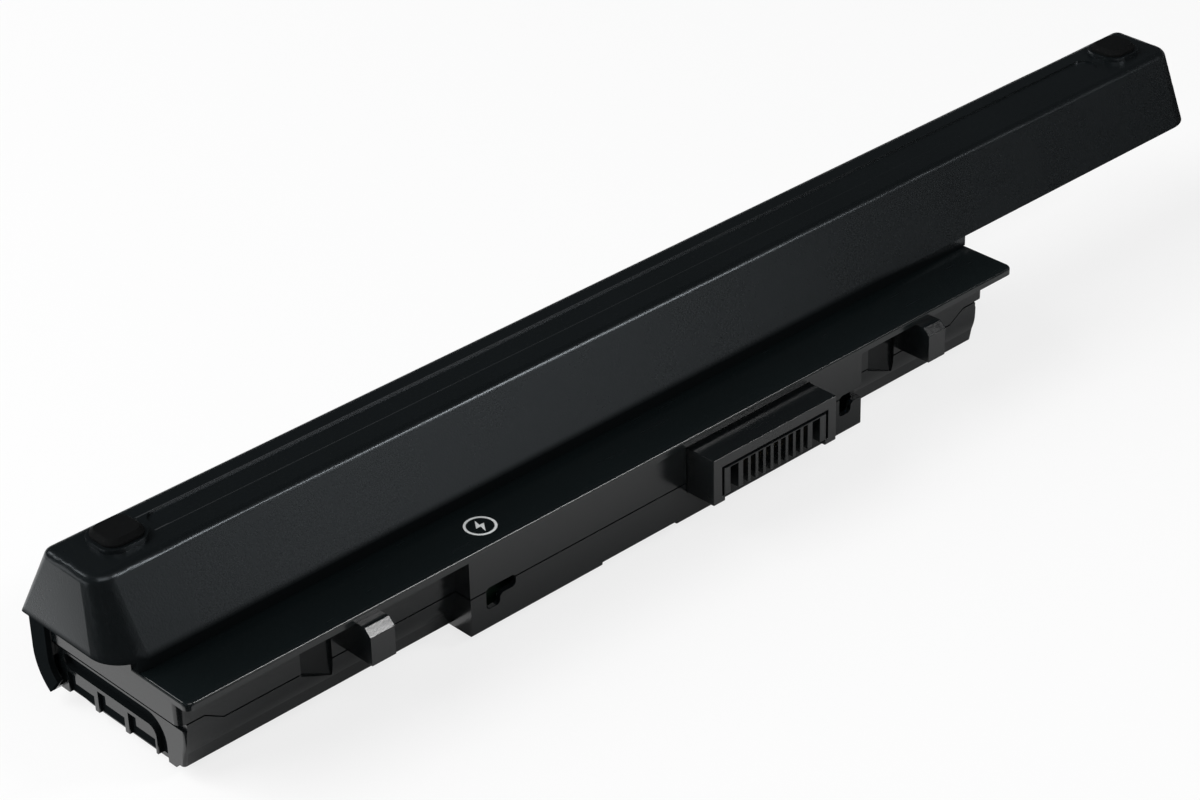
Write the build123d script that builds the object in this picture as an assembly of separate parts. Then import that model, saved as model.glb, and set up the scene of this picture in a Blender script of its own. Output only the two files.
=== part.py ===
# Extended laptop battery pack, shown with its hump up.
# X runs along the pack, -Y is the connector side, +Z is up. Millimetres.
# The origin lies under the middle of the pack's box, on the plane that it rests on.
import os
from math import cos, radians, sin, sqrt, tan

from build123d import *

# Cells
cell_diameter = 18.2
cell_length = 65.0
cells_in_row = 3
row_gap = 0.3
top_row_shift = 2.15
top_row_gap = 0.1
cap_radius = 3.0
cap_height = 0.75

# Link plates welded to the cell ends
link_thickness = 0.3
link_pad_radius = 4.0
link_tab_height = 3.0

# Case walls
case_wall = 1.2
floor = 1.0
roof = 1.1
end_wall = 2.4
cell_clearance = 0.25
crown_clearance = 0.15
end_clearance = 0.8
seam_height = 10.7
end_seam_height = 12.95
seam_rise_start = 8.3
seam_rise_end = 4.4
lower_edge = 2.4
lip_edge = 3.4
lip_taper = 1.3
seam_gap_height = 0.3
seam_gap_depth = 0.6
end_gap_height = 1.6
bottom_round = 10.0
end_round = 0.7
upper_step_left = 1.0
upper_step_right = 1.9
upper_corner_round = 1.6

# Shelf plate and the skirt behind it
shelf_thickness = 1.6
shelf_overhang = 4.7
shelf_inset_left = 2.2
shelf_inset_right = 5.2
shelf_edge_round = 0.6
shelf_corner_round = 1.6
skirt_thickness = 1.2
skirt_gap = 0.1
skirt_top_round = 3.0
skirt_sweep = 52.0
rib_depth = 4.4
tail_width = 2.4
tail_drop = 3.8

# Hump
hump_wall = 1.2
hump_front_lean = 20.3
hump_back_lean = 25.0
hump_left_lean = 5.0
hump_right_lean = 9.0
hump_front_clearance = 1.1
hump_back_clearance = 0.3
hump_overhang_left = 4.7
hump_overhang_right = 75.8
hump_rim_gap = 2.05
hump_rim_corner = 7.0
hump_top_corner = 4.0
hump_back_rim_corner = 0.9
hump_back_top_corner = 2.2
hump_top_round = 1.8
foam_thickness = 0.6
foam_width = 8.0
channel_width = 5.4
channel_depth = 0.4
channel_end_inset = 19.2
wing_thickness = 1.2
wing_clearance = 0.15
ledge_width = 1.5

# Feet on the hump
foot_length = 8.4
foot_width = 7.8
foot_corner = 2.6
foot_thickness = 1.3
foot_chamfer = 0.8
boss_border = 0.7
boss_height = 0.9
foot_end_inset = 12.4

# Middle block of the front side
block_offset = 10.75
block_length = 102.7
block_inset = 0.7
block_round = 0.5
block_floor = 1.8
relief_start = 32.3
relief_length = 19.6
relief_depth = 3.0
relief_height = 0.8

# Connector
connector_end_inset = 14.9
connector_width = 33.3
connector_reach = 6.35
connector_drop = 2.4
connector_height = 9.8
connector_foot_width = 3.0
connector_foot_height = 1.2
connector_clearance = 0.15
contact_count = 9
contact_pitch = 2.04
contact_thickness = 0.4
contact_height = 3.0
contact_recess = 1.6
contact_clearance = 0.05
slot_width = 1.25
slot_top_drop = 3.1
slot_depth = 5.0
guide_slot_width = 2.1
guide_slot_gap = 1.3
groove_inset = 2.2
groove_width = 0.6
groove_depth = 0.8

# Latch tabs and the pockets beside them, whose starts and widths are given in pairs
tab_reach = 3.5
tab_height = 7.3
tab_chamfer = 1.4
left_tab_start = 34.4
left_tab_width = 5.4
right_tab_start = 178.4
right_tab_width = 4.8
pocket_depth = 0.8
pocket_drop = 2.2
pocket_left_height = 8.3
pocket_right_height = 11.7
front_pockets = ((25.1, 7.0), (169.7, 7.6))

# Key notches in the block's front wall
notch_arm_length = 7.2
notch_arm_height = 2.5
notch_leg_width = 3.3
notch_leg_height = 2.1
notch_top_rise = 0.4
notch_corner = 0.95
left_notch_start = 3.7
right_notch_start = 96.4

# Guide slot and pockets of the end walls
guide_width = 3.0
guide_depth = 1.3
guide_height = 9.4
guide_bend = 3.6
guide_leg_setback = 7.1
guide_end_setback = 6.3
end_pocket_count = 3
end_pocket_pitch = 8.75
end_pocket_width = 7.6
end_pocket_height = 4.7
end_pocket_step_width = 2.3
end_pocket_step_height = 3.0
end_pocket_depth = 0.8
end_pocket_setback = 9.1

# Circuit board and what is soldered to it
board_thickness = 1.0
board_setback = 1.3
board_end_gap = 3.4
board_bottom = 4.6
board_height = 13.8
insulator_thickness = 0.3
insulator_gap = 1.2
insulator_end_gap = 9.0
insulator_top = 16.0

# Parts on the board: gap to the connector, width, height and thickness
gauge_size = (18.0, 7.0, 7.0, 1.1)
switch_sizes = ((10.1, 5.0, 6.0, 1.1), (3.6, 5.0, 6.0, 1.1))
resistor_size = (28.0, 6.4, 3.2, 0.8)
fuse_size = (1.6, 6.0, 4.0, 1.1)

# Leads and sensor
lead_thickness = 0.6
lead_width = 3.0
lead_wall_gap = 0.1
lead_height = 17.5
lead_bend = 1.8
lead_landing = 2.4
sensor_diameter = 2.2
sensor_length = 5.0

# End pads
pad_height = 11.8

# Places along Z
cell_radius = cell_diameter / 2
base_height = floor + roof + cell_diameter + 2 * crown_clearance
row_z = floor + crown_clearance + cell_radius
rim_z = base_height + hump_rim_gap
shelf_under = base_height - shelf_thickness

# Places along Y, from the back
base_depth = 2 * case_wall + 2 * cell_diameter + row_gap + 2 * cell_clearance + skirt_thickness + skirt_gap
pack_depth = connector_reach + shelf_overhang + base_depth
back_y = pack_depth / 2
shelf_front = back_y - base_depth - shelf_overhang
wall_front = shelf_front + shelf_overhang
block_front = shelf_front + block_inset
tray_back = back_y - skirt_thickness - skirt_gap
inner_front = wall_front + case_wall
inner_back = tray_back - case_wall
front_row_y = inner_front + cell_clearance + cell_radius
back_row_y = front_row_y + cell_diameter + row_gap
top_row_y = (front_row_y + back_row_y) / 2 + top_row_shift
row_step = cell_diameter + top_row_gap
top_row_z = row_z + sqrt(row_step**2 - (back_row_y - top_row_y) ** 2)

# Places along X
stack_length = cells_in_row * cell_length + (cells_in_row + 1) * link_thickness
tray_length = stack_length + 2 * (end_clearance + end_wall)
shelf_length = tray_length + shelf_inset_left + shelf_inset_right
hump_length = hump_overhang_left + shelf_length + hump_overhang_right
shelf_left = hump_overhang_left - hump_length / 2
shelf_right = shelf_left + shelf_length
tray_left = shelf_left + shelf_inset_left
tray_right = tray_left + tray_length
upper_left = tray_left - upper_step_left
upper_right = tray_right + upper_step_right
inner_left = tray_left + end_wall
inner_right = tray_right - end_wall
stack_left = inner_left + end_clearance
stack_right = stack_left + stack_length
block_left = tray_left + tray_length / 2 + block_offset - block_length / 2
block_right = block_left + block_length

# Hump outline, set off from the top row of cells
hump_top = top_row_z + cell_radius + foam_thickness + hump_wall
front_lean = radians(hump_front_lean)
back_lean = radians(hump_back_lean)
left_lean = radians(hump_left_lean)
right_lean = radians(hump_right_lean)
front_reach = cell_radius + hump_front_clearance + hump_wall
back_reach = cell_radius + hump_back_clearance + hump_wall


def hump_bounds(z, inset=0.0):
    """Left, right, front and back of the hump at height z, moved in by a wall."""
    rise = z - rim_z
    left = -hump_length / 2 + rise * tan(left_lean) + inset / cos(left_lean)
    right = hump_length / 2 - rise * tan(right_lean) - inset / cos(right_lean)
    lift = z - top_row_z
    front = top_row_y - (front_reach - inset - lift * sin(front_lean)) / cos(front_lean)
    back = top_row_y + (back_reach - inset - lift * sin(back_lean)) / cos(back_lean)
    return left, right, front, back


def block(x0, x1, y0, y1, z0, z1):
    """Box between two corners."""
    return Pos((x0 + x1) / 2, (y0 + y1) / 2, (z0 + z1) / 2) * Box(x1 - x0, y1 - y0, z1 - z0)


def side_profile(y0, y1, z0, z1, front_round=0.0, back_round=0.0):
    """Cross-section in the YZ plane with its two lower corners rounded."""
    face = Pos((y0 + y1) / 2, (z0 + z1) / 2) * Rectangle(y1 - y0, z1 - z0)
    corners = face.vertices().group_by(Axis.Y)[0].sort_by(Axis.X)
    if front_round:
        face = fillet(corners[0], front_round)
    if back_round:
        corners = face.vertices().sort_by(Axis.X)
        lowest = corners.group_by(Axis.X)[-1].sort_by(Axis.Y)[0]
        face = fillet(lowest, back_round)
    return face


def along_x(profile, x0, x1):
    """Solid of a YZ cross-section from x0 to x1."""
    return extrude(Plane.YZ.offset(x0) * profile, amount=x1 - x0)


def along_z(profile, z0, z1):
    """Solid of a plan outline from z0 to z1."""
    return extrude(Plane.XY.offset(z0) * profile, amount=z1 - z0)


def hump_outline(z, inset=0.0, front_corner=hump_rim_corner, back_corner=hump_back_rim_corner):
    """Plan outline of the hump at height z: wide front corners, and square back ones inside."""
    left, right, front, back = hump_bounds(z, inset)
    outline = Pos((left + right) / 2, (front + back) / 2) * Rectangle(right - left, back - front)
    outline = fillet(outline.vertices().group_by(Axis.Y)[0], front_corner - inset)
    if inset:
        return outline
    return fillet(outline.vertices().group_by(Axis.Y)[-1], back_corner)


def hump_form(top, inset=0.0):
    """Tapered form of the hump from its rim to the given top."""
    rim = Plane.XY.offset(rim_z) * hump_outline(rim_z, inset)
    crown = Plane.XY.offset(top) * hump_outline(top, inset, hump_top_corner, hump_back_top_corner)
    return loft([rim, crown])


def foot_outline(border=0.0):
    """Rounded outline of a foot, widened by a border for its boss."""
    return RectangleRounded(foot_length + 2 * border, foot_width + 2 * border, foot_corner + border)


foot_reach = hump_length / 2 - foot_end_inset


def hump_cover():
    """Tapered shell over the top row of cells, with a lower edge between the ends of the shelf."""
    neck = along_z(hump_outline(rim_z), base_height, rim_z)
    neck &= block(shelf_left, shelf_right, -pack_depth, pack_depth, base_height, rim_z)
    outer = hump_form(hump_top)
    shell = fillet(outer.faces().sort_by(Axis.Z)[-1].edges(), hump_top_round) + neck
    for side in (-1, 1):
        boss = Pos(side * foot_reach, top_row_y) * foot_outline(boss_border)
        shell += along_z(boss, hump_top - hump_wall / 2, hump_top + boss_height)
    shell -= hump_form(hump_top - hump_wall, hump_wall)
    shell -= along_z(hump_outline(rim_z, hump_wall), base_height, rim_z)
    channel = SlotOverall(hump_length - 2 * channel_end_inset, channel_width)
    shell -= along_z(Pos(0, top_row_y) * channel, hump_top - channel_depth, hump_top)
    return shell


def foot(side):
    """Rubber pad on a boss of the hump."""
    seat = hump_top + boss_height
    pad = along_z(Pos(side * foot_reach, top_row_y) * foot_outline(), seat, seat + foot_thickness)
    return chamfer(pad.faces().sort_by(Axis.Z)[-1].edges(), foot_chamfer)


# Places of the connector, taken from the block
connector_right = block_right - connector_end_inset
connector_left = connector_right - connector_width
connector_front = shelf_front - connector_reach
connector_top = base_height - connector_drop
connector_bottom = connector_top - connector_height
board_front = block_front + case_wall + board_setback
board_back = board_front + board_thickness
connector_middle = (connector_left + connector_right) / 2


def connector_window():
    """Room in the block's front wall for the connector housing."""
    gap = connector_clearance
    return block(connector_left - gap, connector_right + gap, block_front - block_inset, board_front,
                 connector_bottom - gap, connector_top + gap)


def key_notches():
    """Two L-shaped notches through the block's front wall, across the seam."""
    top = seam_height + notch_top_rise
    cuts = []
    for start in (left_notch_start, right_notch_start):
        left = block_left + start
        arm = Pos(left + notch_arm_length / 2, top - notch_arm_height / 2) * Rectangle(notch_arm_length,
                                                                                         notch_arm_height)
        leg_height = notch_arm_height + notch_leg_height
        leg = Pos(left + notch_leg_width / 2, top - leg_height / 2) * Rectangle(notch_leg_width, leg_height)
        outline = arm + leg
        outline = fillet(outline.vertices(), notch_corner)
        cuts.append(extrude(Plane.XZ.offset(-block_front + block_inset) * outline,
                            amount=-(block_inset + case_wall + board_setback / 2)))
    return cuts


def skirt_profile(gap=0.0, thickness=skirt_thickness):
    """Cross-section of the curved rear wall, which hangs from the shelf and turns in under the pack."""
    axis_y = back_y - bottom_round
    inner_edge = axis_y - case_wall
    outer = side_profile(inner_edge, back_y, 0, base_height, back_round=bottom_round)
    top_corner = outer.vertices().group_by(Axis.X)[-1].sort_by(Axis.Y)[-1]
    outer = fillet(top_corner, skirt_top_round)
    depth = thickness + gap
    inner = side_profile(inner_edge - case_wall, back_y - depth, depth, shelf_under,
                         back_round=bottom_round - depth)
    sweep = radians(skirt_sweep) + gap / bottom_round
    reach = 2 * bottom_round
    tip = (axis_y + reach * cos(sweep), bottom_round - reach * sin(sweep))
    under = make_face(Polyline((axis_y, bottom_round), tip, (axis_y, -reach), (axis_y - reach, -reach),
                               (axis_y - reach, bottom_round), close=True))
    return outer - inner - under


def upper_outline():
    """Plan outline of the base, with the middle block standing out of its front."""
    rear = back_y - skirt_thickness / 2
    main = Rectangle(upper_right - upper_left, rear - wall_front)
    main = Pos((upper_left + upper_right) / 2, (wall_front + rear) / 2) * main
    main = fillet(main.vertices().group_by(Axis.Y)[0], upper_corner_round)
    front = Pos((block_left + block_right) / 2, (block_front + inner_front) / 2) * Rectangle(
        block_length, inner_front - block_front)
    return main + front


def inner_room(z0, z1):
    """Room for the cells and, in the block, for the circuit board."""
    return block(inner_left, inner_right, inner_front, back_y - skirt_thickness, z0, z1) + block(
        block_left + case_wall, block_right - case_wall, block_front + case_wall, front_row_y, z0, z1)


def latch_tab(start, width):
    """Hook-shaped tab under the shelf's front edge, bevelled at its top front edge."""
    left = tray_left + start
    front = shelf_front - tab_reach
    tab = block(left, left + width, front, inner_front, shelf_under - tab_height, shelf_under)
    edge = tab.edges().filter_by(Axis.X).group_by(Axis.Y)[0].sort_by(Axis.Z)[-1]
    return chamfer(edge, tab_chamfer)


def front_pocket(start, width):
    """Shallow recess in the front wall beside a latch tab, deeper down on its right."""
    left = tray_left + start
    right = left + width
    top = base_height - pocket_drop
    outline = make_face(Polyline((left, top), (right, top), (right, top - pocket_right_height),
                                 (left, top - pocket_left_height), close=True))
    return extrude(Plane.XZ.offset(-wall_front) * outline, amount=-pocket_depth)


def wing(x0, x1, riser):
    """Plate that closes the hump's underside past one end of the shelf, on a riser from the shelf."""
    top = rim_z + wing_thickness
    outline = hump_outline(top, hump_wall + wing_clearance)
    room = block(x0, x1, -pack_depth, pack_depth, rim_z, top)
    room += block(riser, riser + wing_thickness, -pack_depth, pack_depth, shelf_under, top)
    return along_z(outline, shelf_under, top) & room


def rear_tail(x0, x1, gap=0.0):
    """Tail of an upper end wall, which drops behind the tray's end wall."""
    return block(x0, x1, tray_back - tail_width - gap, back_y - skirt_thickness / 2,
                 end_seam_height - tail_drop - gap, end_seam_height)


def below_seam(drop=0.0):
    """Room under the seam, which rises towards both ends of the tray."""
    low = seam_height - drop
    high = end_seam_height - drop
    line = Polyline((-hump_length, 0), (-hump_length, high), (tray_left + seam_rise_end, high),
                    (tray_left + seam_rise_start, low), (tray_right - seam_rise_start, low),
                    (tray_right - seam_rise_end, high), (hump_length, high), (hump_length, 0), close=True)
    return extrude(Plane.XZ.offset(pack_depth) * make_face(line), amount=-2 * pack_depth)


def seam_gap():
    """Groove along the outside of the seam, taller under the overhanging upper end walls."""
    depth = seam_gap_depth
    band = below_seam() - below_seam(seam_gap_height)
    for x0 in (tray_left, tray_right - depth):
        band += block(x0, x0 + depth, wall_front, back_y, end_seam_height - end_gap_height, end_seam_height)
    band -= block(tray_left + depth, tray_right - depth, wall_front + depth, back_y, 0, base_height)
    return band - block(block_left + depth, block_right - depth, block_front + depth, back_y, 0, base_height)


def top_case():
    """Shelf plate, upper walls, skirt, latch tabs and the plates under the hump's ends."""
    plate = block(shelf_left, shelf_right, shelf_front, back_y - skirt_top_round, shelf_under, base_height)
    plate = fillet(plate.edges().filter_by(Axis.Z).group_by(Axis.Y)[0], shelf_corner_round)
    front_edge = plate.edges().filter_by(Axis.X).group_by(Axis.Y)[0].sort_by(Axis.Z)[-1]
    plate = fillet(front_edge, shelf_edge_round)
    walls = along_z(upper_outline(), seam_height, shelf_under) - below_seam()
    case = plate + along_x(skirt_profile(), shelf_left, shelf_right) + walls
    for x0, x1 in ((shelf_left, upper_left), (upper_right, shelf_right)):
        case += along_x(skirt_profile(thickness=rib_depth), x0, x1)
    case -= inner_room(seam_height, base_height - roof)
    front, back = hump_bounds(rim_z, hump_wall + ledge_width)[2:]
    case -= block(inner_left, inner_right, front, back, seam_height, base_height)
    case += latch_tab(left_tab_start, left_tab_width)
    case += latch_tab(right_tab_start, right_tab_width)
    for pocket in front_pockets:
        case -= front_pocket(*pocket)
    case += rear_tail(upper_left, inner_left) + rear_tail(inner_right, upper_right)
    case += wing(-hump_length, shelf_left + wing_thickness, shelf_left)
    case += wing(shelf_right - wing_thickness, hump_length, shelf_right - wing_thickness)
    case -= connector_window()
    for notch in key_notches():
        case -= notch
    return case


def end_guides(outer_x, side):
    """L-shaped guide slot and three stepped pockets, cut into an end wall of the tray."""
    leg_y = wall_front + guide_leg_setback
    run = Polyline((leg_y, -guide_width), (leg_y, guide_height),
                   (tray_back - guide_end_setback, guide_height))
    run = fillet(run.vertices().sort_by(Axis.Y)[-2:].sort_by(Axis.X)[0], guide_bend)
    slot = make_face(offset(run, guide_width / 2, side=Side.BOTH))
    depth = -side * guide_depth
    cuts = [extrude(Plane.YZ.offset(outer_x) * slot, amount=depth)]
    for index in range(end_pocket_count):
        start = wall_front + end_pocket_setback + index * end_pocket_pitch
        x0, x1 = sorted((outer_x, outer_x - side * end_pocket_depth))
        end = start + end_pocket_width
        cuts.append(block(x0, x1, start, end, 0, lower_edge + end_pocket_step_height))
        cuts.append(block(x0, x1, end - end_pocket_step_width, end, 0, lower_edge + end_pocket_height))
    return cuts


def bottom_tray():
    """Lower half of the base: rounded trough for two rows of cells, with the lower half of the block."""
    main = side_profile(wall_front, back_y, 0, end_seam_height, bottom_round, bottom_round)
    main += make_face(Polyline((wall_front, bottom_round), (wall_front + lip_taper, lip_edge),
                               (front_row_y, lip_edge), (front_row_y, bottom_round), close=True))
    main -= skirt_profile(skirt_gap)
    tray = along_x(main, inner_left, inner_right)
    for x0, x1, face in ((tray_left, inner_left, 0), (inner_right, tray_right, -1)):
        wall = along_x(main, x0, x1) - block(x0, x1, -pack_depth, pack_depth, 0, lower_edge)
        edges = wall.faces().sort_by(Axis.X)[face].edges()
        tray += fillet([edge for edge in edges if edge.center().Y < inner_front], end_round)
    front = side_profile(block_front, front_row_y, lower_edge, seam_height, block_round)
    tray += along_x(front, block_left, block_right)
    inner_round = bottom_round - case_wall
    room = side_profile(inner_front, inner_back, floor, end_seam_height, inner_round, inner_round)
    hollow = along_x(room, inner_left, inner_right)
    for x0, x1 in ((inner_left, stack_left), (stack_right, inner_right)):
        hollow -= block(x0, x1, -pack_depth, pack_depth, 0, lower_edge + floor)
    tray -= hollow
    tray -= block(block_left + case_wall, block_right - case_wall, block_front + case_wall, front_row_y,
                  lower_edge + block_floor, seam_height)
    relief = block_left + relief_start
    tray -= block(relief, relief + relief_length, block_front, block_front + relief_depth, 0,
                  lower_edge + relief_height)
    for outer_x, side in ((tray_left, -1), (tray_right, 1)):
        for cut in end_guides(outer_x, side):
            tray -= cut
    tray -= rear_tail(upper_left, inner_left + skirt_gap, skirt_gap)
    tray -= rear_tail(inner_right - skirt_gap, upper_right, skirt_gap)
    tray -= connector_window()
    for notch in key_notches():
        tray -= notch
    for pocket in front_pockets:
        tray -= front_pocket(*pocket)
    tray &= below_seam()
    return tray - seam_gap()


contact_places = [connector_middle + (index - (contact_count - 1) / 2) * contact_pitch
                  for index in range(contact_count)]
slot_top = connector_top - slot_top_drop
contact_top = slot_top - contact_clearance
middle_bottom = connector_bottom + connector_foot_height


def connector_housing():
    """Socket body with a slot for each blade and a wider guide slot at each end of the row."""
    body = block(connector_left, connector_right, connector_front, board_front,
                 connector_bottom, connector_top)
    body -= block(connector_left + connector_foot_width, connector_right - connector_foot_width,
                  connector_front, board_front, connector_bottom, middle_bottom)
    slot_back = connector_front + slot_depth
    half = contact_thickness / 2 + contact_clearance
    seat_bottom = slot_top - contact_height - 2 * contact_clearance
    for x in contact_places:
        body -= block(x - slot_width / 2, x + slot_width / 2, connector_front, slot_back,
                      middle_bottom, slot_top)
        body -= block(x - half, x + half, slot_back, board_front, seat_bottom, slot_top)
    row_half = (contact_places[-1] - contact_places[0] + slot_width) / 2 + guide_slot_gap
    for side in (-1, 1):
        x = connector_middle + side * (row_half + guide_slot_width / 2)
        body -= block(x - guide_slot_width / 2, x + guide_slot_width / 2, connector_front, slot_back,
                      middle_bottom, slot_top)
    rim = block(connector_left + groove_inset, connector_right - groove_inset, connector_front,
                connector_front + groove_depth, middle_bottom, connector_top - groove_inset)
    inset = groove_inset + groove_width
    rim -= block(connector_left + inset, connector_right - inset, connector_front,
                 connector_front + groove_depth, middle_bottom, connector_top - inset)
    return body - rim


def connector_contacts():
    """Row of contact plates, from the circuit board to just inside the slots."""
    return [block(x - contact_thickness / 2, x + contact_thickness / 2, connector_front + contact_recess,
                  board_front, contact_top - contact_height, contact_top) for x in contact_places]


def cell():
    """Round cell along X from the origin, with its raised positive cap."""
    shoulder = cell_length - cap_height
    outline = Polyline((0, 0), (0, cell_radius), (shoulder, cell_radius), (shoulder, cap_radius),
                       (cell_length, cap_radius), (cell_length, 0), close=True)
    return revolve(Plane.XY * make_face(outline), Axis.X)


rows = {"front": (front_row_y, row_z), "back": (back_row_y, row_z), "top": (top_row_y, top_row_z)}
cell_pitch = cell_length + link_thickness
lead_y = inner_front + lead_wall_gap + lead_thickness / 2


def link_plate(index):
    """Plate that joins the ends of three cells; inner ones reach to the board, end ones to a lead."""
    x0 = stack_left + index * cell_pitch
    pads = [Pos(*place) * Circle(link_pad_radius) for place in rows.values()]
    outline = make_hull([edge for pad in pads for edge in pad.edges()])
    ends = index in (0, cells_in_row)
    if ends:
        ear = Pos(lead_y, lead_height) * Rectangle(lead_thickness, lead_width)
        outline += make_hull(ear.edges() + pads[0].edges())
    plate = along_x(outline, x0, x0 + link_thickness)
    if not ends:
        plate += block(x0, x0 + link_thickness, board_back, front_row_y, row_z - link_tab_height / 2,
                       row_z + link_tab_height / 2)
    return plate


def lead(side):
    """Flat insulated lead from an end plate, along the corner under the shelf, to the back of the board."""
    if side < 0:
        start = stack_left + link_thickness
        landing = block_left + board_end_gap + lead_landing
    else:
        start = stack_right - link_thickness
        landing = block_right - board_end_gap - lead_landing
    path = FilletPolyline((start, lead_y, lead_height), (landing, lead_y, lead_height),
                          (landing, board_back, lead_height), radius=lead_bend)
    start_plane = Plane(origin=path @ 0, x_dir=(0, 1, 0), z_dir=path % 0)
    return sweep(start_plane * Rectangle(lead_thickness, lead_width), path)


def circuit_board():
    """Upright board behind the block's front wall."""
    return block(block_left + board_end_gap, block_right - board_end_gap, board_front, board_back,
                 board_bottom, board_bottom + board_height)


def on_board(side, gap, width, height, thickness):
    """Part soldered to the board's front face, beside an end of the connector and centred on its height."""
    left = connector_right + gap if side > 0 else connector_left - gap - width
    middle = board_bottom + board_height / 2
    return block(left, left + width, board_front - thickness, board_front,
                 middle - height / 2, middle + height / 2)


def board_insulator():
    """Stiff paper strip between the board and the cells, slit where the link plates pass."""
    y0 = board_back + insulator_gap
    strip = block(block_left + insulator_end_gap, block_right - insulator_end_gap,
                  y0, y0 + insulator_thickness, lower_edge + block_floor, insulator_top)
    for index in range(1, cells_in_row):
        x0 = stack_left + index * cell_pitch
        strip -= block(x0 - link_thickness, x0 + 2 * link_thickness, y0, y0 + insulator_thickness,
                       row_z - link_tab_height, insulator_top)
    return strip


def end_pad(x0):
    """Foam pad between an end plate and the tray's end wall."""
    low = lower_edge + floor
    return block(x0, x0 + end_clearance, front_row_y, back_row_y, low, low + pad_height)


def top_foam():
    """Foam strip between the top row of cells and the hump."""
    z0 = top_row_z + cell_radius
    return block(stack_left + cell_radius, stack_right - cell_radius, top_row_y - foam_width / 2,
                 top_row_y + foam_width / 2, z0, z0 + foam_thickness)


def sensor():
    """Temperature sensor in the hollow between the three rows."""
    middle_y = (front_row_y + back_row_y + top_row_y) / 3
    middle_z = (2 * row_z + top_row_z) / 3
    x0 = stack_left + 1.5 * cell_pitch
    return Pos(x0, middle_y, middle_z) * Rot(0, 90, 0) * Cylinder(sensor_diameter / 2, sensor_length)


nodes = {
    "hump_cover": hump_cover(),
    "top_case": top_case(),
    "bottom_tray": bottom_tray(),
    "foot_left": foot(-1),
    "foot_right": foot(1),
    "connector_housing": connector_housing(),
    "connector_contacts": Compound(connector_contacts()),
    "circuit_board": circuit_board(),
    "gauge_chip": on_board(-1, *gauge_size),
    "switch_transistors": Compound([on_board(-1, *size) for size in switch_sizes]),
    "sense_resistor": on_board(-1, *resistor_size),
    "board_fuse": on_board(1, *fuse_size),
    "board_insulator": board_insulator(),
    "lead_negative": lead(-1),
    "lead_positive": lead(1),
    "temperature_sensor": sensor(),
    "end_pad_left": end_pad(inner_left),
    "end_pad_right": end_pad(inner_right - end_clearance),
    "top_foam_strip": top_foam(),
}
for index in range(cells_in_row + 1):
    nodes[f"link_plate_{index + 1}"] = link_plate(index)
for row, (y, z) in rows.items():
    for index in range(cells_in_row):
        x = stack_left + link_thickness + index * cell_pitch
        nodes[f"cell_{row}_{index + 1}"] = Pos(x, y, z) * cell()

os.makedirs("parts", exist_ok=True)
for name, shape in nodes.items():
    export_step(shape, f"parts/{name}.step")
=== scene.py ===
from math import pi, radians

import bmesh
import bpy
from mathutils import Matrix, Vector


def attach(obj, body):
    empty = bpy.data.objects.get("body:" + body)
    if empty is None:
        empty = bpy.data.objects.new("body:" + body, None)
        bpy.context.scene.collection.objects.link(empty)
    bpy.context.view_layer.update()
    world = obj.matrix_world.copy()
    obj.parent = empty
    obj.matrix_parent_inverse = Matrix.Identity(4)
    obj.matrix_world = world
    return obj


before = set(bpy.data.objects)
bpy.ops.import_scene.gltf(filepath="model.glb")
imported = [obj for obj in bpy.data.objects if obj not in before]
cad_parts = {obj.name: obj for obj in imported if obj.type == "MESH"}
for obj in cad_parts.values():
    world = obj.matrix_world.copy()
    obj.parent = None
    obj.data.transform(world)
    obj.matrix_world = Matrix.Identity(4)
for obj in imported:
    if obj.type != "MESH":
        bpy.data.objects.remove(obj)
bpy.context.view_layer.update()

# Sizes are in metres; MM turns a size in millimetres into one
MM = 0.001
SOFT_EDGE = 0.1 * MM

JET = (0.0046, 0.0059, 0.0065)
PLATE_JET = (0.0048, 0.0072, 0.0078)
# The first two colours below are painted shade and a painted highlight; the last two are dust
SHADE_BLACK = (0.0056, 0.0069, 0.0075, 1.0)
HIGHLIGHT_GREY = (0.060, 0.063, 0.066, 1.0)
DUST_GREY = (0.20, 0.20, 0.19, 1.0)
PLATE_DUST_GREY = (0.22, 0.22, 0.21, 1.0)


class Signal:
    """A shader socket that can stand in a Python sum."""

    def __init__(self, finish, socket):
        self.finish = finish
        self.socket = socket

    def maths(self, operation, first, second):
        settings = {"operation": operation}
        return self.finish.node("ShaderNodeMath", settings, {0: first, 1: second})

    def __add__(self, other):
        return self.maths("ADD", self, other)

    def __radd__(self, other):
        return self.maths("ADD", other, self)

    def __sub__(self, other):
        return self.maths("SUBTRACT", self, other)

    def __rsub__(self, other):
        return self.maths("SUBTRACT", other, self)

    def __mul__(self, other):
        return self.maths("MULTIPLY", self, other)

    def __rmul__(self, other):
        return self.maths("MULTIPLY", other, self)

    def above(self, edge, width):
        """0 below an edge and 1 above it, with a soft step of a given width."""
        settings = {"interpolation_type": "SMOOTHSTEP"}
        inputs = {"Value": self, "From Min": edge - width / 2, "From Max": edge + width / 2}
        return self.finish.node("ShaderNodeMapRange", settings, inputs)

    def between(self, low, high, width):
        """1 between two edges, with soft steps."""
        return self.above(low, width) * (1 - self.above(high, width))


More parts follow.
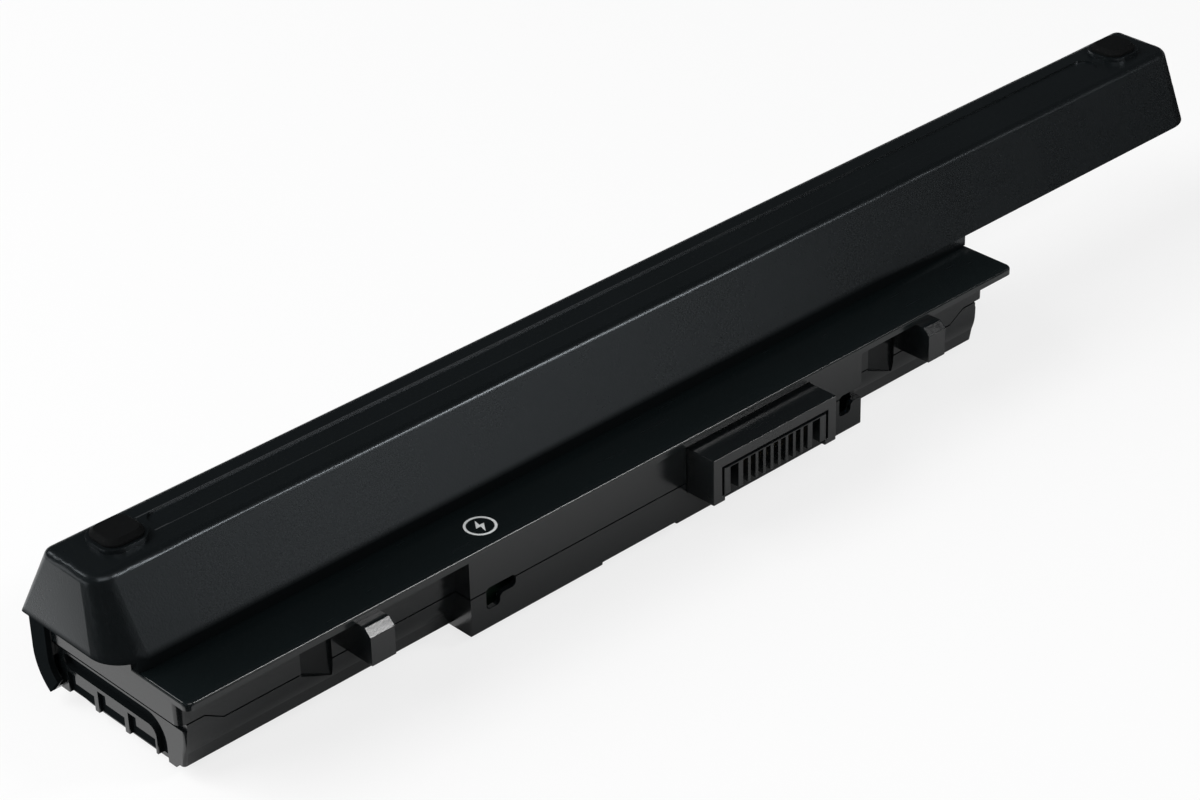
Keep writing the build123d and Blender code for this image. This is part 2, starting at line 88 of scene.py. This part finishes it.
class Finish:
    """A node material on a Principled surface."""

    def __init__(self, name):
        self.material = bpy.data.materials.new(name)
        self.material.use_nodes = True
        self.tree = self.material.node_tree
        self.surface = self.tree.nodes["Principled BSDF"]
        self.place = self.node("ShaderNodeTexCoord", {}, {}, "Object")

    def node(self, kind, settings, inputs, output=0):
        """Adds a node, sets it up, feeds its sockets and gives one of its outputs."""
        added = self.tree.nodes.new(kind)
        for name, value in settings.items():
            setattr(added, name, value)
        for name, value in inputs.items():
            self.feed(added.inputs[name], value)
        return Signal(self, added.outputs[output])

    def feed(self, socket, value):
        if isinstance(value, Signal):
            self.tree.links.new(value.socket, socket)
        else:
            socket.default_value = value

    def set(self, **values):
        """Sets the surface's sockets, named with underscores for spaces."""
        for name, value in values.items():
            self.feed(self.surface.inputs[name.replace("_", " ")], value)

    def noise(self, size, detail, roughness):
        """Noise with spots of a given size."""
        inputs = {"Vector": self.place, "Scale": 1 / size, "Detail": detail, "Roughness": roughness}
        return self.node("ShaderNodeTexNoise", {}, inputs, "Fac")

    def streaks(self, size, detail, squeeze):
        """Noise drawn out along the pack."""
        inputs = {"Vector": self.place, "Scale": (squeeze, 1.0, 1.0)}
        drawn = self.node("ShaderNodeMapping", {}, inputs)
        inputs = {"Vector": drawn, "Scale": 1 / size, "Detail": detail}
        return self.node("ShaderNodeTexNoise", {}, inputs, "Fac")

    def axis(self, name):
        return self.node("ShaderNodeSeparateXYZ", {}, {"Vector": self.place}, name)

    def mix(self, share, first, second):
        """Colour between two colours."""
        inputs = {"Factor": share, 6: first, 7: second}
        return self.node("ShaderNodeMix", {"data_type": "RGBA"}, inputs, 2)

    def bump(self, height, distance):
        inputs = {"Height": height, "Distance": distance, "Strength": 1.0}
        return self.node("ShaderNodeBump", {}, inputs)

    def room(self, x, y, z):
        """1 inside a box given in millimetres."""
        share = 1.0
        for name, (low, high) in (("X", x), ("Y", y), ("Z", z)):
            share = self.axis(name).between(low * MM, high * MM, SOFT_EDGE) * share
        return share

    def blend(self, share, other):
        """Mixes another shader over the surface."""
        surface = Signal(self, self.surface.outputs[0])
        both = self.node("ShaderNodeMixShader", {}, {0: share, 1: surface, 2: other})
        self.feed(self.tree.nodes["Material Output"].inputs["Surface"], both)

    def paint_shade(self, share):
        """Painted shade: dull black where the share is 1, standing in for the shade in recesses and
        at the hump's foot that light doesn't reach.
        """
        inputs = {"Color": SHADE_BLACK, "Roughness": 0.0}
        self.blend(share, self.node("ShaderNodeBsdfDiffuse", {}, inputs))


def shade(colour, factor):
    """A colour made lighter or darker, with full alpha."""
    return (colour[0] * factor, colour[1] * factor, colour[2] * factor, 1.0)


def moulded(name, colour, rough, gloss, grain_size, grain_depth, mottle=0.22, smooth_from=None):
    """Moulded plastic or rubber: spark grain, mottling and a little dust.

    Grain is sized in millimetres, and its relief ends at the height smooth_from, if one is given.
    """
    finish = Finish(name)
    clouds = finish.noise(26 * MM, 3.0, 0.55)
    grain = finish.noise(grain_size * MM, 2.0, 0.6)
    specks = finish.noise(0.55 * MM, 1.0, 0.4).above(0.72, 0.05)
    tone = clouds * 0.5 + grain * 0.5
    body = finish.mix(tone, shade(colour, 1 - mottle), shade(colour, 1 + mottle))
    body = finish.mix(specks * (0.03 * clouds), body, DUST_GREY)
    wear = (grain - 0.5) * (0.15 * rough) + (clouds - 0.5) * 0.06
    finish.set(Base_Color=body, Roughness=rough + wear + specks * 0.05)
    relief = grain
    if smooth_from is not None:
        relief = (grain - 0.5) * (1 - finish.axis("Z").above(smooth_from * MM, 0.8 * MM))
    finish.set(Specular_IOR_Level=gloss, Normal=finish.bump(relief, grain_depth * MM))
    finish.body = body
    return finish


def case_finish(name):
    """Upper case: satin walls that turn into a polished shelf plate."""
    wall_rough, plate_rough, plate_from = 0.17, 0.20, 19.2 * MM
    finish = Finish(name)
    clouds = finish.noise(30 * MM, 3.0, 0.55)
    grain = finish.noise(0.30 * MM, 2.0, 0.6)
    scuffs = finish.streaks(1.4 * MM, 4.0, 0.12).above(0.66, 0.10)
    specks = finish.noise(0.5 * MM, 1.0, 0.4).above(0.74, 0.05)
    polished = finish.axis("Z").above(plate_from, 0.3 * MM)
    wall_colour = finish.mix(clouds, shade(JET, 0.86), shade(JET, 1.14))
    plate_colour = finish.mix(clouds, shade(PLATE_JET, 0.85), shade(PLATE_JET, 1.15))
    body = finish.mix(polished, wall_colour, plate_colour)
    body = finish.mix(specks * 0.02, body, PLATE_DUST_GREY)
    rough = wall_rough + polished * (plate_rough - wall_rough)
    finish.set(Base_Color=body, Roughness=rough + scuffs * 0.08 + (clouds - 0.5) * 0.06)
    relief = (1 - polished) * grain
    finish.set(Specular_IOR_Level=0.70, Normal=finish.bump(relief, 0.012 * MM))
    return finish


def metal(name, colour, rough):
    """Plated metal with fine drawn lines and a little tarnish."""
    finish = Finish(name)
    lines = finish.streaks(0.25 * MM, 3.0, 0.05)
    tarnish = finish.noise(4 * MM, 3.0, 0.6)
    finish.set(Base_Color=finish.mix(tarnish, shade(colour, 0.8), shade(colour, 1.1)))
    finish.set(Metallic=1.0, Roughness=rough + (lines - 0.5) * 0.15)
    finish.set(Normal=finish.bump(lines, 0.004 * MM))
    return finish


hump = moulded("hump_plastic", JET, 0.28, 0.60, 0.45, 0.022, mottle=0.45, smooth_from=35.8)
finishes = {
    "hump_plastic": hump,
    "case_plastic": case_finish("case_plastic"),
    "contact_metal": metal("contact_metal", (0.80, 0.62, 0.34), 0.28),
    "nickel_strip": metal("nickel_strip", (0.62, 0.60, 0.56), 0.30),
    "mark_ink": moulded("mark_ink", (0.70, 0.72, 0.72), 0.55, 0.35, 0.15, 0.004, mottle=0.10),
}
# Colour, roughness, gloss, and the size and depth of the grain
plain_finishes = {
    "tray_plastic": (JET, 0.18, 0.70, 0.30, 0.008),
    "foot_rubber": ((0.0055, 0.0058, 0.0060), 0.70, 0.05, 0.25, 0.015),
    "connector_plastic": ((0.0042, 0.0054, 0.0060), 0.28, 0.75, 0.30, 0.004),
    "board_laminate": ((0.004, 0.010, 0.006), 0.35, 0.50, 0.4, 0.006),
    "chip_plastic": ((0.018, 0.018, 0.019), 0.50, 0.35, 0.2, 0.008),
    "resistor_ceramic": ((0.30, 0.29, 0.27), 0.45, 0.40, 0.2, 0.006),
    "insulator_paper": ((0.42, 0.38, 0.30), 0.80, 0.20, 0.5, 0.020),
    "lead_black": ((0.016, 0.016, 0.017), 0.40, 0.40, 0.6, 0.008),
    "lead_red": ((0.42, 0.020, 0.016), 0.40, 0.40, 0.6, 0.008),
    "sensor_resin": ((0.10, 0.06, 0.02), 0.30, 0.50, 0.5, 0.010),
    "foam_pad": ((0.10, 0.10, 0.11), 0.95, 0.10, 0.6, 0.080),
    "cell_sleeve": ((0.06, 0.16, 0.36), 0.30, 0.45, 1.5, 0.008),
}
for slot, values in plain_finishes.items():
    finishes[slot] = moulded(slot, *values)

# Painted shade in the recesses of the tray, mixed towards dull black: the slots and pockets in its
# ends, and the lower part of the front pockets, whose sills slope down to the right. Boxes are in
# millimetres.
FRONT_POCKETS = ((-113.25, -106.25), (31.35, 38.95))
POCKET_FLOOR = (-14.6, -13.9)
SILL_HIGH, SILL_FALL = 10.1, 3.4
# Share of painted shade in the front pockets
POCKET_SHADE = 0.5
tray = finishes["tray_plastic"]
tray_painted_shade = tray.room(x=(-138.1, -136.3), y=(-13.4, 30), z=(-1, 13.2))
tray_painted_shade += tray.room(x=(62.2, 64.0), y=(-13.4, 30), z=(-1, 13.2))
for left, right in FRONT_POCKETS:
    slope = SILL_FALL / (right - left)
    height = tray.axis("Z") + tray.axis("X") * slope
    above_sill = height.above((SILL_HIGH + left * slope) * MM, SOFT_EDGE)
    pocket = tray.room(x=(left, right), y=POCKET_FLOOR, z=(6.5, 10.8))
    tray_painted_shade += pocket * above_sill * POCKET_SHADE
tray.paint_shade(tray_painted_shade)

# Painted shade in the recesses of the upper case: the upper part of the front pockets, and the ends
# of the skirt
case = finishes["case_plastic"]
case_painted_shade = case.room(x=(-136, 62), y=POCKET_FLOOR, z=(10.6, 18.7)) * POCKET_SHADE
case_painted_shade += case.room(x=(-150, -139.45), y=(10, 40), z=(-1, 18.8))
case_painted_shade += case.room(x=(66.3, 75), y=(10, 40), z=(-1, 18.8))
case.paint_shade(case_painted_shade)

# Hump: a cool sheen, a painted highlight along the edges of the channel, paler towards the left,
# and painted shade along the hump's foot, whose edge ends lower at the right
hump.set(Specular_Tint=(0.86, 0.94, 1.0, 1.0))
# Painted highlight: pale lines along both edges of the channel on the hump's top
channel_highlight = hump.room(x=(-127, 127), y=(4.20, 4.45), z=(37.4, 38.2))
channel_highlight += hump.room(x=(-127, 127), y=(9.60, 9.85), z=(37.4, 38.2))
left_part = 1 - hump.axis("X").above(0.0, 200 * MM)
hump.set(Base_Color=hump.mix(channel_highlight * left_part * 0.6, hump.body, HIGHLIGHT_GREY))
# Painted shade along the foot of the hump, its edge lower at the right
lift = hump.axis("X").above(55 * MM, 30 * MM) * (1.9 * MM)
hump.paint_shade(1 - (hump.axis("Z") + lift).above(23.3 * MM, 1.6 * MM))

# Each CAD node takes the finish of its slot in the record
node_slots = {
    "hump_cover": "hump_plastic",
    "top_case": "case_plastic",
    "bottom_tray": "tray_plastic",
    "foot_left": "foot_rubber",
    "foot_right": "foot_rubber",
    "connector_housing": "connector_plastic",
    "connector_contacts": "contact_metal",
    "circuit_board": "board_laminate",
    "gauge_chip": "chip_plastic",
    "switch_transistors": "chip_plastic",
    "sense_resistor": "resistor_ceramic",
    "board_fuse": "resistor_ceramic",
    "board_insulator": "insulator_paper",
    "lead_negative": "lead_black",
    "lead_positive": "lead_red",
    "temperature_sensor": "sensor_resin",
    "end_pad_left": "foam_pad",
    "end_pad_right": "foam_pad",
    "top_foam_strip": "foam_pad",
}
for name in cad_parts:
    if name.startswith("cell_"):
        node_slots[name] = "cell_sleeve"
    if name.startswith("link_plate_"):
        node_slots[name] = "nickel_strip"
for name, slot in node_slots.items():
    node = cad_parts[name]
    node.data.materials.clear()
    node.data.materials.append(finishes[slot].material)


def soften(node, width):
    """Joins a CAD node's loose triangles and rounds its sharp edges, with modifiers only."""
    weld = node.modifiers.new("join", "WELD")
    weld.merge_threshold = 0.002 * MM
    bevel = node.modifiers.new("round", "BEVEL")
    bevel.width = width
    bevel.segments = 2
    bevel.limit_method = "ANGLE"
    bevel.angle_limit = radians(35)
    bevel.harden_normals = True
    even = node.modifiers.new("even", "WEIGHTED_NORMAL")
    even.weight = 100
    even.keep_sharp = True


# Widths in millimetres
edge_rounds = {
    "hump_cover": 0.15,
    "top_case": 0.22,
    "bottom_tray": 0.20,
    "connector_housing": 0.12,
    "foot_left": 0.25,
    "foot_right": 0.25,
}
for name, width in edge_rounds.items():
    soften(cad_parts[name], width * MM)


def make_object(name, build, finish):
    """Makes an object of a bmesh, with a finish."""
    mesh = bpy.data.meshes.new(name)
    build.to_mesh(mesh)
    build.free()
    made = bpy.data.objects.new(name, mesh)
    bpy.context.scene.collection.objects.link(made)
    mesh.materials.append(finish.material)
    return made


SHELF_TOP = 20.6 * MM
INK = 0.03 * MM
SIGN_PLACE = (-70.25 * MM, -13.855 * MM)
SIGN_OUTER = 3.1 * MM
SIGN_STROKE = 0.50 * MM
# Corners of the bolt, in shares of the ring's inner radius
BOLT = ((0.16, 0.74), (-0.44, -0.08), (-0.03, -0.08), (-0.16, -0.74), (0.44, 0.12), (0.05, 0.12))


def charge_sign():
    """Printed ring on the shelf with a plain charge bolt in it, which rides on the pack."""
    build = bmesh.new()
    inner = SIGN_OUTER - SIGN_STROKE
    rings = []
    for radius in (SIGN_OUTER, inner):
        made = bmesh.ops.create_circle(build, segments=64, radius=radius)
        rings += list({edge for vert in made["verts"] for edge in vert.link_edges})
    faces = bmesh.ops.bridge_loops(build, edges=rings)["faces"]
    faces.append(build.faces.new([build.verts.new((x * inner, y * inner, 0.0)) for x, y in BOLT]))
    bmesh.ops.recalc_face_normals(build, faces=faces)
    grown = bmesh.ops.extrude_face_region(build, geom=faces)["geom"]
    raised = [item for item in grown if isinstance(item, bmesh.types.BMVert)]
    bmesh.ops.translate(build, verts=raised, vec=(0.0, 0.0, INK))
    bmesh.ops.translate(build, verts=build.verts, vec=(*SIGN_PLACE, SHELF_TOP - INK / 3))
    bmesh.ops.recalc_face_normals(build, faces=build.faces)
    sign = make_object("charge_sign", build, finishes["mark_ink"])
    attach(sign, "root")


charge_sign()

# Floor, cards, lamps, world and camera
FLOOR_REACH = 6.0
FLOOR_WHITE = 0.78
CARD_HEIGHT = 0.5 * MM
BLACK, GREY = 0.02, 0.58


def studio_floor():
    """Wide pale floor, mostly white to the camera and in reflections, which keeps its shadow."""
    build = bmesh.new()
    bmesh.ops.create_grid(build, x_segments=1, y_segments=1, size=FLOOR_REACH)
    finish = Finish("floor_paint")
    clouds = finish.noise(0.5, 2.0, 0.5)
    paint = finish.mix(clouds, (0.86, 0.86, 0.86, 1.0), (0.90, 0.90, 0.90, 1.0))
    finish.set(Base_Color=paint, Roughness=0.9, Specular_IOR_Level=0.0)
    inputs = {"Color": (1.0, 1.0, 1.0, 1.0), "Strength": 1.0}
    white = finish.node("ShaderNodeEmission", {}, inputs)
    seen = 0.0
    for ray in ("Is Camera Ray", "Is Glossy Ray", "Is Transmission Ray"):
        seen = finish.node("ShaderNodeLightPath", {}, {}, ray) + seen
    finish.blend(seen * FLOOR_WHITE, white)
    make_object("floor", build, finish)


def card(name, x, y, tone, slant=0.0):
    """Black or grey card on the floor beside the pack, which only the pack's gloss sees: it paints
    a dark or grey reflection and casts no shadow.
    """
    corners = ((x[0], y[0]), (x[1], y[0]), (x[1], y[1]), (x[0], y[1] + slant))
    build = bmesh.new()
    build.faces.new([build.verts.new((*corner, CARD_HEIGHT)) for corner in corners])
    finish = Finish("card_paper")
    finish.set(Base_Color=(tone, tone, tone, 1.0), Roughness=0.95, Specular_IOR_Level=0.0)
    sheet = make_object(name, build, finish)
    sheet.visible_camera = False
    sheet.visible_shadow = False
    sheet.visible_diffuse = False


def softbox(name, place, target, width, height, power):
    """Rectangular soft lamp aimed at a point."""
    light = bpy.data.lights.new(name, "AREA")
    light.shape = "RECTANGLE"
    light.size = width
    light.size_y = height
    light.energy = power
    lamp = bpy.data.objects.new(name, light)
    bpy.context.scene.collection.objects.link(lamp)
    lamp.location = place
    aim = Vector(target) - Vector(place)
    lamp.rotation_euler = aim.to_track_quat("-Z", "Y").to_euler()
    return lamp


studio_floor()
# Cards that only the gloss sees: painted dark and grey reflections
card("left_flag", (-3.0, -0.26), (-3.0, 0.022), BLACK)
card("slant_flag", (-0.26, -0.168), (-3.0, 0.029), BLACK, slant=0.161)
card("corner_flag", (-0.168, -0.142), (-3.0, -0.018), BLACK)
card("front_flag", (-0.142, -0.09), (-3.0, -0.06), BLACK)
card("right_flag", (0.15, 1.30), (-1.30, -0.08), BLACK)
card("end_flag", (0.155, 0.60), (-0.08, 0.20), BLACK)
card("front_card", (-0.09, 0.15), (-1.20, -0.012), GREY)
card("corner_card", (-0.142, -0.09), (-0.06, -0.012), GREY)

PACK = (0.0, 0.0, 0.02)
key = softbox("key_box", (-0.90, 0.70, 0.88), PACK, 1.5, 1.1, 28.0)
key.visible_glossy = False
softbox("rim_box", (-0.74, 0.84, 0.83), PACK, 0.25, 0.25, 1.0)
softbox("overhead_box", (-0.35, -0.65, 0.90), PACK, 0.8, 0.6, 2.6)
softbox("edge_strip", (0.445, -0.62, 0.59), (0.445, 0.0, 0.02), 0.39, 0.12, 2.6)
softbox("front_fill", (0.68, -1.20, 0.24), PACK, 0.4, 0.4, 0.45)

world = bpy.data.worlds.new("studio")
bpy.context.scene.world = world
world.use_nodes = True
sky = world.node_tree.nodes["Background"]
sky.inputs["Color"].default_value = (0.90, 0.96, 1.0, 1.0)
sky.inputs["Strength"].default_value = 0.035

CAMERA_PLACE = (-0.39008, -0.39007, 0.34306)
CAMERA_TURN, CAMERA_FALL, CAMERA_ROLL = radians(-42.92), radians(31.04), radians(-1.48)
lens = bpy.data.cameras.new("camera")
lens.sensor_fit = "HORIZONTAL"
lens.sensor_width = 36.0
lens.lens = 98.91
lens.clip_start = 0.01
camera = bpy.data.objects.new("camera", lens)
bpy.context.scene.collection.objects.link(camera)
aim = Matrix.Rotation(CAMERA_TURN, 4, "Z") @ Matrix.Rotation(pi / 2 - CAMERA_FALL, 4, "X")
aim = aim @ Matrix.Rotation(CAMERA_ROLL, 4, "Z")
camera.matrix_world = Matrix.Translation(CAMERA_PLACE) @ aim
bpy.context.scene.camera = camera
bpy.context.scene.view_settings.view_transform = "Standard"
